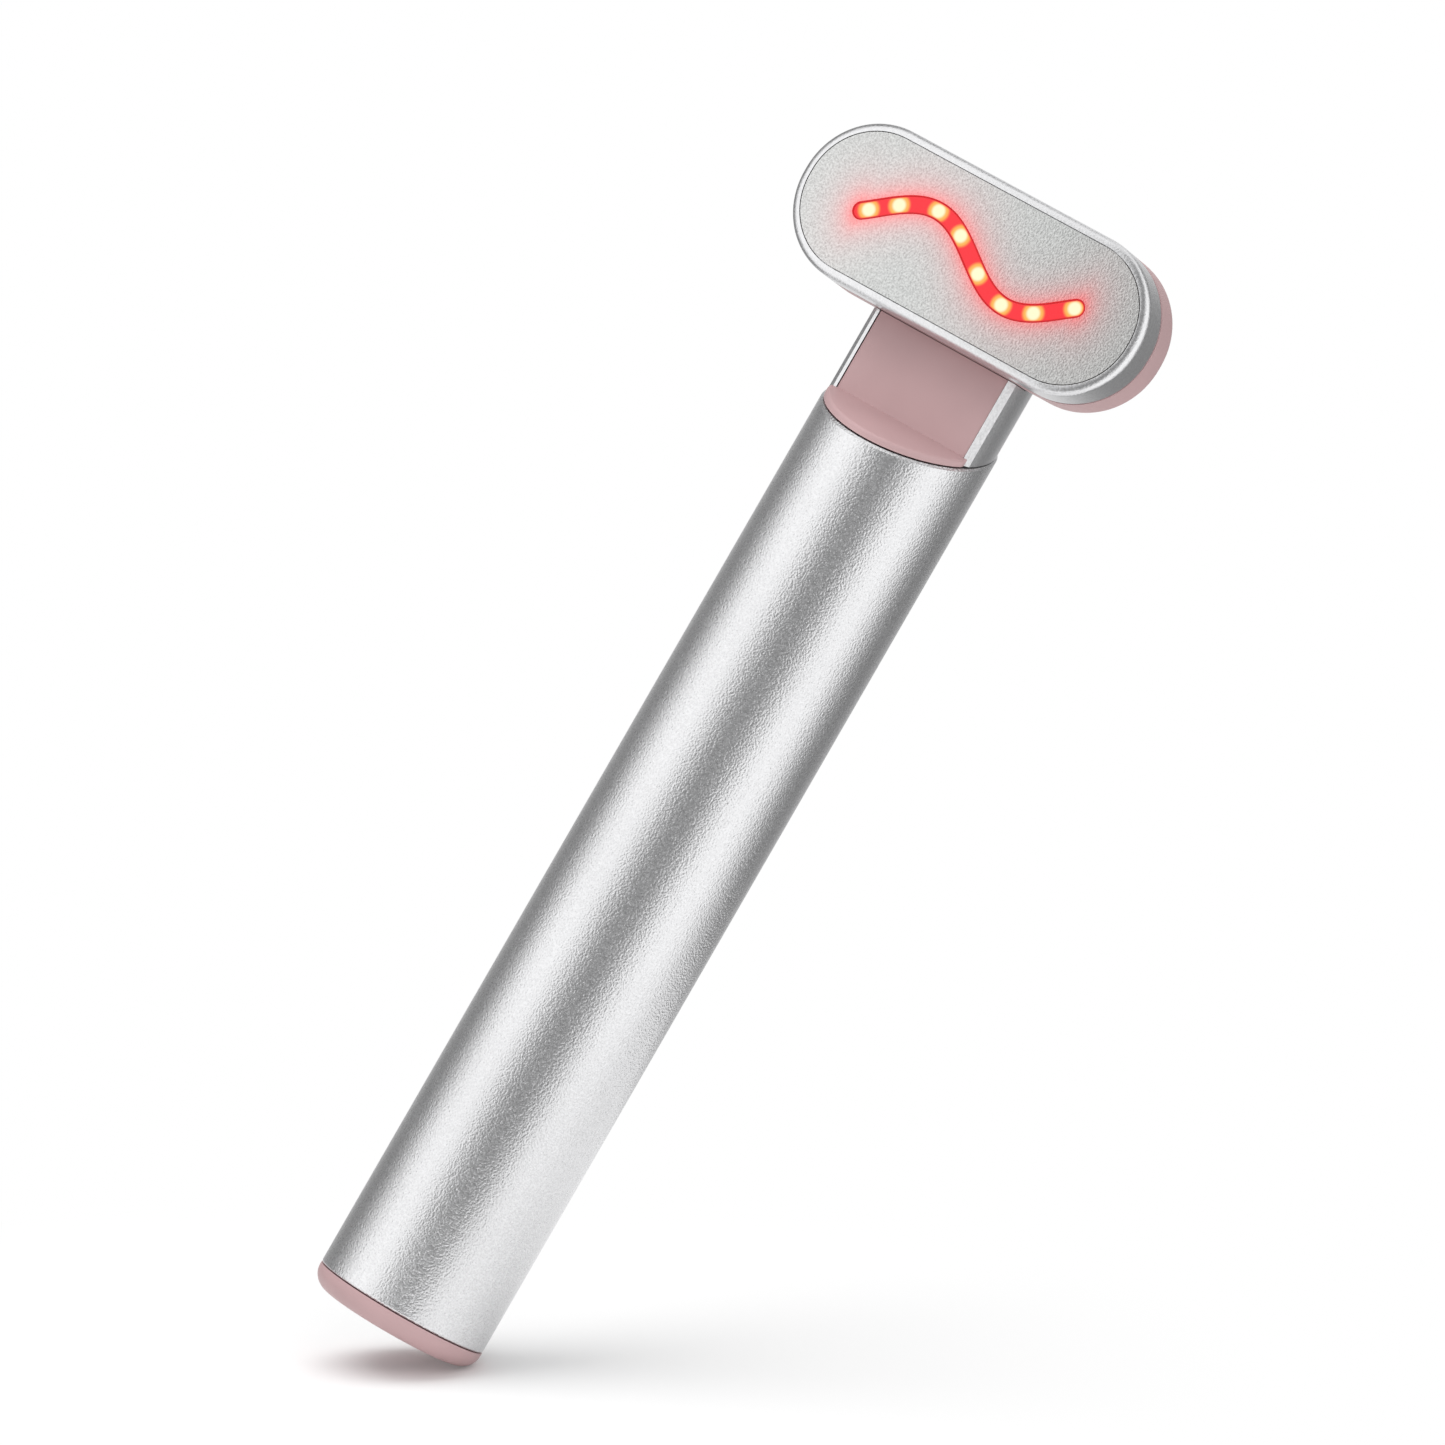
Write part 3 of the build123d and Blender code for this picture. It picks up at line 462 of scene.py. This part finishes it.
def wave_distance(recipe):
    """Nodes for the distance to the channel's middle line: the place along the head is held
    within the channel's ends, the wave's height there is a sine, and the distance is the
    square root of the two offsets squared, the upright one lessened for the wave's slope."""
    made = recipe.node("ShaderNodeSeparateXYZ")
    recipe.link(recipe.coordinates(), made.inputs[0])
    across, _, upright = made.outputs
    held = recipe.number("MAXIMUM", across, -sizes().wave_left)
    held = recipe.number("MINIMUM", held, sizes().wave_right)
    turn = 2 * math.pi / sizes().wave_length
    angle = recipe.number("MULTIPLY", recipe.number("SUBTRACT", held, sizes().wave_shift), turn)
    wave = recipe.number("MULTIPLY", recipe.number("SINE", angle), -sizes().wave_height)
    above = recipe.number("SUBTRACT", upright, middle("light_board").z)
    rise = recipe.number("SUBTRACT", above, wave)
    slope = recipe.number("MULTIPLY", recipe.number("COSINE", angle), sizes().wave_height * turn)
    slope_square = recipe.number("MULTIPLY", slope, slope)
    stretch = recipe.number("SQRT", recipe.number("ADD", slope_square, 1.0))
    rise = recipe.number("DIVIDE", rise, stretch)
    side = recipe.number("SUBTRACT", across, held)
    rise_square = recipe.number("MULTIPLY", rise, rise)
    side_square = recipe.number("MULTIPLY", side, side)
    return recipe.number("SQRT", recipe.number("ADD", rise_square, side_square))


class WAND_OT_face(bpy.types.Operator):
    """Finishes the face plate in coarse blasted metal with a painted red glow along the channel"""

    bl_idname = "wand.face"
    bl_label = "Face plate"

    def execute(self, context):
        painted_halo_mix, painted_halo_glow = 0.58, 0.28
        recipe = blasted_metal(
            "blasted face", colours().face_metal, sizes().face_grain,
            roughness=0.42, contrast=0.20, relief=0.06 * MM)
        base = recipe.shader.inputs["Base Color"].links[0].from_socket
        # Painted glow: near the channel the plate's colour is mixed towards red and the plate
        # itself emits red, standing in for the lamps' light scattered by the blasted metal
        beyond = recipe.number("SUBTRACT", wave_distance(recipe), sizes().light_width / 2)
        fade = recipe.number("DIVIDE", recipe.number("MAXIMUM", beyond, 0.0), -sizes().halo_reach)
        halo = recipe.number("EXPONENT", fade, clamp=True)
        painted_halo_share = recipe.number("MULTIPLY", halo, painted_halo_mix)
        painted_halo_colour = recipe.blend(painted_halo_share, base, colours().halo_red)
        recipe.link(painted_halo_colour, recipe.shader.inputs["Base Color"])
        recipe.put(Emission_Color=(*colours().halo_red, 1))
        glow = recipe.number("MULTIPLY", halo, painted_halo_glow)
        recipe.link(glow, recipe.shader.inputs["Emission Strength"])
        dress(recipe.material, "face_plate")
        return {"FINISHED"}


def wave_ring(half, count=180, turn_count=16):
    """A closed ring round the channel's middle line at the distance half from it: the upper
    side is the sine wave moved along its normal, then a half circle round the right end, the
    lower side back, and a half circle round the left end. Gives places across and upright, of
    which the first count follow the upper side."""
    along = np.linspace(-sizes().wave_left, sizes().wave_right, count)
    turn = 2 * math.pi / sizes().wave_length
    level = -sizes().wave_height * np.sin(turn * (along - sizes().wave_shift))
    slope = -sizes().wave_height * turn * np.cos(turn * (along - sizes().wave_shift))
    lean = np.arctan(slope)
    side = np.stack([-np.sin(lean), np.cos(lean)], axis=1)
    line = np.stack([along, level], axis=1)
    right = lean[-1] + np.linspace(math.pi / 2, -math.pi / 2, turn_count + 2)[1:-1]
    left = lean[0] + np.linspace(-math.pi / 2, -3 * math.pi / 2, turn_count + 2)[1:-1]
    right_end = line[-1] + half * np.stack([np.cos(right), np.sin(right)], axis=1)
    left_end = line[0] + half * np.stack([np.cos(left), np.sin(left)], axis=1)
    return np.vstack([line + half * side, right_end, (line - half * side)[::-1], left_end])


class WAND_OT_light(bpy.types.Operator):
    """Builds the lit strip in the wave-shaped slot, with a hot middle over each lamp"""

    bl_idname = "wand.light"
    bl_label = "Light strip"

    def execute(self, context):
        strip = self.strip()
        self.measure(strip)
        strip.data.materials.append(self.lit_red().material)
        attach(strip, "head")
        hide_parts("light_guide")
        return {"FINISHED"}

    def strip(self):
        """A profile carried along the wave: from the middle of the flat rear out to the flange's
        edge, forward to the back of the face plate, in to the slot's width, forward to the
        rounded edge, a quarter circle, and in to the middle of the flat front."""
        half, crown = sizes().light_width / 2, sizes().light_crown
        flange = sizes().flange_width / 2
        rear = high("light_guide").y
        back = low("face_plate").y + sizes().face_thickness
        front = low("face_plate").y + sizes().light_recess
        arc = np.linspace(0, math.pi / 2, 7)
        inner = np.linspace(half - crown, 0, 12)[1:]
        halves = np.concatenate([
            [0, flange, flange, half, half],
            half - crown + crown * np.cos(arc),
            inner,
        ])
        depths = np.concatenate([
            [rear, rear, back, back, back - crown],
            front + crown * (1 - np.sin(arc)),
            np.full(inner.size, front),
        ])
        rings = np.stack([wave_ring(width) for width in halves], axis=1)
        across, upright = rings[..., 0], rings[..., 1] + middle("light_board").z
        depth = np.broadcast_to(depths, across.shape)
        strip = surface("light_strip", np.stack([across, depth, upright], axis=-1))
        merge(strip, 0.001 * MM)
        return strip

    def measure(self, strip):
        """Stores two numbers at each point: glow, which falls from 1 over a lamp's middle by the
        square of the distance in an exponent, and edge, the distance from the wave's middle line
        as a share of half the width."""
        line_count, past_edge = 900, 1.2
        place = np.empty(len(strip.data.vertices) * 3)
        strip.data.vertices.foreach_get("co", place)
        place = place.reshape(-1, 3)[:, ::2]
        lamps = lamp_centres()[:, ::2]
        reach = np.linalg.norm(place[:, None] - lamps[None], axis=2).min(axis=1)
        paint(strip, "glow", np.exp(-((reach / sizes().lamp_spread) ** 2)))
        line = wave_ring(0.0, count=line_count)[:line_count]
        line[:, 1] += middle("light_board").z
        gap = np.linalg.norm(place[:, None] - line[None], axis=2).min(axis=1)
        paint(strip, "edge", np.clip(gap / (sizes().light_width / 2), 0, past_edge))

    def lit_red(self):
        """Red plastic lit from behind: amber and then nearly white over each lamp, with painted
        dark-red shade along the edges."""
        red_end, amber_at, core_at = 0.22, 0.52, 0.82
        edge_shade_start, edge_shade_end = 0.70, 0.86
        unlit = 0.35
        recipe = Recipe("red light strip")
        recipe.put(Roughness=0.35, Metallic=0.0)
        glow = recipe.node("ShaderNodeAttribute", attribute_name="glow").outputs["Fac"]
        edge = recipe.node("ShaderNodeAttribute", attribute_name="edge").outputs["Fac"]
        warm = recipe.ramp(glow, (
            (0.0, colours().light_red), (red_end, colours().light_red),
            (amber_at, colours().light_amber), (core_at, colours().light_core),
        ))
        # Painted shade: towards the strip's edges the lit colour turns to dark red, standing in for
        # shade along the slot's edge
        edge_shade = recipe.spread(edge, 0.0, 1.0, edge_shade_start, edge_shade_end)
        colour = recipe.blend(edge_shade, warm, colours().light_edge_shade)
        recipe.link(colour, recipe.shader.inputs["Emission Color"])
        recipe.put(Emission_Strength=1.0, Base_Color=(*shade(colours().light_red, unlit), 1))
        return recipe


class WAND_OT_inside(bpy.types.Operator):
    """Finishes the sealed pieces: boards, cell, chassis, leads, seals and screws"""

    bl_idname = "wand.inside"
    bl_label = "Inner pieces"

    def execute(self, context):
        self.finish("white carrier", (0.62, 0.62, 0.59), 0.5,
                    "chassis", "lead_plug", "head_plug", "switch_plunger")
        self.finish("black moulding", (0.02, 0.02, 0.022), 0.5,
                    "neck_frame", "push_switch", "charge_socket_insert")
        self.finish("chip packages", (0.015, 0.015, 0.017), 0.4, "board_components")
        self.finish("green board", (0.02, 0.11, 0.05), 0.35, "main_board", "port_board")
        self.finish("white board", (0.75, 0.75, 0.72), 0.4, "light_board")
        self.finish("cell wrap", (0.05, 0.13, 0.30), 0.3, "battery_cell")
        self.finish("black rubber", (0.02, 0.02, 0.02), 0.75,
                    "end_cap_seal", "drag_ring", "face_seal")
        self.finish("grey foam", (0.07, 0.07, 0.075), 0.9, "battery_pads")
        self.finish("lead cover", (0.025, 0.025, 0.028), 0.55, "handle_lead", "head_lead")
        self.finish("clear pipe", (0.75, 0.78, 0.80), 0.12, "indicator_pipe")
        self.finish("lamp lens", (0.80, 0.70, 0.38), 0.25, "lamps")
        steel = self.finish("bright steel", (0.58, 0.58, 0.60), 0.28,
                            "charge_socket_shell", "battery_tabs", "thrust_washer",
                            "retaining_ring", "handle_screws", "head_screws")
        steel.put(Metallic=1.0)
        return {"FINISHED"}

    def finish(self, name, colour, roughness, *nodes):
        """Gives parts of the frame one plain finish with a fine texture."""
        recipe = moulded_plastic(name, colour, sizes().plastic_grain, roughness)
        dress(recipe.material, *nodes)
        return recipe


def camera_frame(settings):
    """The camera's axes in the wand's frame: right, up and back, rolled so that the wand leans."""
    turn, rise, lean = settings.azimuth, settings.elevation, settings.lean
    back = Vector((
        math.sin(turn) * math.cos(rise), -math.cos(turn) * math.cos(rise), math.sin(rise)))
    right = Vector((math.cos(turn), math.sin(turn), 0))
    up = back.cross(right)
    rolled_right = right * math.cos(lean) + up * math.sin(lean)
    rolled_up = up * math.cos(lean) - right * math.sin(lean)
    return right, rolled_right, rolled_up, back


def aim(place, target):
    """The matrix of a lamp at a place that shines at a target."""
    turned = (place - target).to_track_quat("Z", "Y").to_matrix().to_4x4()
    return Matrix.Translation(place) @ turned


def area_lamp(name, place, target, size, power):
    """A square lamp that isn't seen in reflections, because the tent stands for it there."""
    lamp = bpy.data.lights.new(name, "AREA")
    lamp.size = size
    lamp.energy = power
    made = bpy.data.objects.new(name, lamp)
    made.matrix_world = aim(place, target)
    made.visible_glossy = False
    made.visible_camera = False
    bpy.context.scene.collection.objects.link(made)


def seen_directly(tree):
    """A share that is 1 for what the camera, a reflection or a clear piece shows."""
    path = tree.nodes.new("ShaderNodeLightPath")
    share = path.outputs["Is Camera Ray"]
    for ray in ("Is Glossy Ray", "Is Transmission Ray"):
        larger = tree.nodes.new("ShaderNodeMath")
        larger.operation = "MAXIMUM"
        tree.links.new(share, larger.inputs[0])
        tree.links.new(path.outputs[ray], larger.inputs[1])
        share = larger.outputs[0]
    return share


class WAND_OT_stage(bpy.types.Operator):
    """Sets the floor, the light tent, the lamps, the white world and the camera"""

    bl_idname = "wand.stage"
    bl_label = "Studio"

    def execute(self, context):
        settings = context.scene.wand_stage
        right, rolled_right, rolled_up, back = camera_frame(settings)
        self.camera(context, settings, right, rolled_right, rolled_up, back)
        up = rolled_up * math.cos(settings.floor_rise) + back * math.sin(settings.floor_rise)
        self.floor(settings, up)
        self.tent(settings)
        self.world(context, settings)
        target = Vector((0, 0, settings.aim_height))
        key = target + up * settings.key_rise - rolled_right * settings.key_left
        area_lamp("key_lamp", key, target, settings.key_size, settings.key_power)
        fill = target + back * settings.fill_front
        fill += rolled_up * settings.fill_rise + rolled_right * settings.fill_right
        area_lamp("fill_lamp", fill, target, settings.fill_size, settings.fill_power)
        context.scene.view_settings.view_transform = "Standard"
        return {"FINISHED"}

    def camera(self, context, settings, right, rolled_right, rolled_up, back):
        """The camera at the photograph's angle, rolled so that the wand leans."""
        lens = bpy.data.cameras.new("photo_camera")
        lens.lens = settings.lens
        lens.sensor_width = 36
        lens.clip_end = 20
        camera = bpy.data.objects.new("photo_camera", lens)
        target = right * settings.aim_shift + Vector((0, 0, settings.aim_height))
        turned = Matrix((rolled_right, rolled_up, back)).transposed().to_4x4()
        camera.matrix_world = Matrix.Translation(target + back * settings.distance) @ turned
        context.scene.collection.objects.link(camera)
        context.scene.camera = camera

    def floor(self, settings, up):
        """A flat square that touches the cap's rounded edge at its lowest point in the picture:
        the edge is a ring of round section, so the floor lies under the ring's lowest side."""
        edge = settings.cap_edge
        ring = high("end_cap").x - edge
        depth = -ring * math.hypot(up.x, up.y) + edge * up.z - edge
        first = up.orthogonal().normalized() * settings.floor_size / 2
        second = up.cross(first)
        middle_point = up * depth
        corners = np.array([
            [middle_point - first - second, middle_point - first + second],
            [middle_point + first - second, middle_point + first + second],
        ])
        floor = surface("floor", corners, closed=False)
        if floor.data.polygons[0].normal.dot(up) < 0:
            floor.data.flip_normals()
        floor.data.materials.append(self.white_floor(settings).material)

    def white_floor(self, settings):
        """Pale and matt near the wand, where it shows the shadow, and more and more plain white
        with the distance from the wand. It is clear from below."""
        paleness = 0.92
        recipe = Recipe("white floor")
        recipe.put(
            Base_Color=(paleness, paleness, paleness, 1), Roughness=1.0, Specular_IOR_Level=0.0)
        white = recipe.node("ShaderNodeEmission")
        reach = recipe.node("ShaderNodeVectorMath", operation="LENGTH")
        recipe.link(recipe.coordinates(), reach.inputs[0])
        far = recipe.spread(reach.outputs["Value"], 0.0, 1.0, 0.0, settings.shadow_reach)
        share = recipe.number("MULTIPLY", far, seen_directly(recipe.tree))
        seen = recipe.node("ShaderNodeMixShader")
        recipe.link(share, seen.inputs[0])
        recipe.link(recipe.shader.outputs[0], seen.inputs[1])
        recipe.link(white.outputs[0], seen.inputs[2])
        clear = recipe.node("ShaderNodeBsdfTransparent")
        side = recipe.node("ShaderNodeMixShader")
        recipe.link(recipe.node("ShaderNodeNewGeometry").outputs["Backfacing"], side.inputs[0])
        recipe.link(seen.outputs[0], side.inputs[1])
        recipe.link(clear.outputs[0], side.inputs[2])
        recipe.link(side.outputs[0], recipe.tree.nodes["Material Output"].inputs["Surface"])
        return recipe

    def tent(self, settings):
        """An upright round tent of white cloth, lit by soft boxes behind it: a straight wall
        carried round a circle. Only reflections show it."""
        side_count = 96
        around = np.arange(side_count) * 2 * math.pi / side_count
        wall = np.stack([np.cos(around), np.sin(around), 0 * around], axis=1) * settings.tent_radius
        rise = np.array([0, 0, settings.tent_height / 2])
        lift = np.array([0, 0, settings.aim_height])
        tent = surface("light_tent", np.stack([wall - rise + lift, wall + rise + lift], axis=1))
        tent.data.materials.append(self.lit_cloth(settings).material)
        tent.visible_camera = False
        tent.visible_diffuse = False
        tent.visible_transmission = False
        tent.visible_shadow = False

    def lit_cloth(self, settings):
        """Cloth lit by the soft boxes: each adds the cosine of the angle from it, raised to a
        power and held below the brightest light, to the even light of the tent."""
        recipe = Recipe("lit tent")
        flat = recipe.node("ShaderNodeVectorMath", operation="MULTIPLY")
        recipe.link(recipe.coordinates(), flat.inputs[0])
        flat.inputs[1].default_value = (1, 1, 0)
        unit = recipe.node("ShaderNodeVectorMath", operation="NORMALIZE")
        recipe.link(flat.outputs[0], unit.inputs[0])
        light = settings.tent_base
        for angle, tightness, strength in SOFT_BOXES:
            turn = math.radians(angle)
            face = recipe.node("ShaderNodeVectorMath", operation="DOT_PRODUCT")
            recipe.link(unit.outputs[0], face.inputs[0])
            face.inputs[1].default_value = (math.sin(turn), -math.cos(turn), 0)
            facing = recipe.number("MAXIMUM", face.outputs["Value"], 0.0)
            lobe = recipe.number("MULTIPLY", recipe.number("POWER", facing, tightness), strength)
            lobe = recipe.number("MINIMUM", lobe, settings.tent_light)
            light = recipe.number("ADD", lobe, light)
        shine = recipe.node("ShaderNodeEmission")
        recipe.link(light, shine.inputs["Strength"])
        recipe.link(shine.outputs[0], recipe.tree.nodes["Material Output"].inputs["Surface"])
        return recipe

    def world(self, context, settings):
        """White for what is seen directly, a softer even light for everything else."""
        world = bpy.data.worlds.new("studio_world")
        world.use_nodes = True
        context.scene.world = world
        tree = world.node_tree
        even = tree.nodes["Background"]
        even.inputs["Color"].default_value = (1, 1, 1, 1)
        even.inputs["Strength"].default_value = settings.ambient
        white = tree.nodes.new("ShaderNodeBackground")
        white.inputs["Color"].default_value = (1, 1, 1, 1)
        white.inputs["Strength"].default_value = 1.0
        choice = tree.nodes.new("ShaderNodeMixShader")
        tree.links.new(seen_directly(tree), choice.inputs[0])
        tree.links.new(even.outputs[0], choice.inputs[1])
        tree.links.new(white.outputs[0], choice.inputs[2])
        tree.links.new(choice.outputs[0], tree.nodes["World Output"].inputs["Surface"])


operators = (
    WAND_OT_metal, WAND_OT_plastic, WAND_OT_face, WAND_OT_light, WAND_OT_inside, WAND_OT_stage,
)


class WAND_PT_panel(bpy.types.Panel):
    """Lists the steps that dress the wand, with their sizes and colours"""

    bl_idname = "WAND_PT_panel"
    bl_label = "Therapy wand"
    bl_space_type = "VIEW_3D"
    bl_region_type = "UI"
    bl_category = "Wand"

    def draw(self, context):
        for operator in operators:
            self.layout.operator(operator.bl_idname)
        scene = context.scene
        for group in (scene.wand_sizes, scene.wand_colours, scene.wand_stage):
            box = self.layout.box()
            for name in group.__annotations__:
                box.prop(group, name)


classes = (WandSizes, WandColours, StageSettings, *operators, WAND_PT_panel)


def register():
    for item in classes:
        bpy.utils.register_class(item)
    bpy.types.Scene.wand_sizes = bpy.props.PointerProperty(type=WandSizes)
    bpy.types.Scene.wand_colours = bpy.props.PointerProperty(type=WandColours)
    bpy.types.Scene.wand_stage = bpy.props.PointerProperty(type=StageSettings)


def unregister():
    del bpy.types.Scene.wand_sizes
    del bpy.types.Scene.wand_colours
    del bpy.types.Scene.wand_stage
    for item in reversed(classes):
        bpy.utils.unregister_class(item)


def main():
    register()
    bpy.ops.wand.metal()
    bpy.ops.wand.plastic()
    bpy.ops.wand.face()
    bpy.ops.wand.light()
    bpy.ops.wand.inside()
    bpy.ops.wand.stage()


if __name__ == "__main__":
    main()
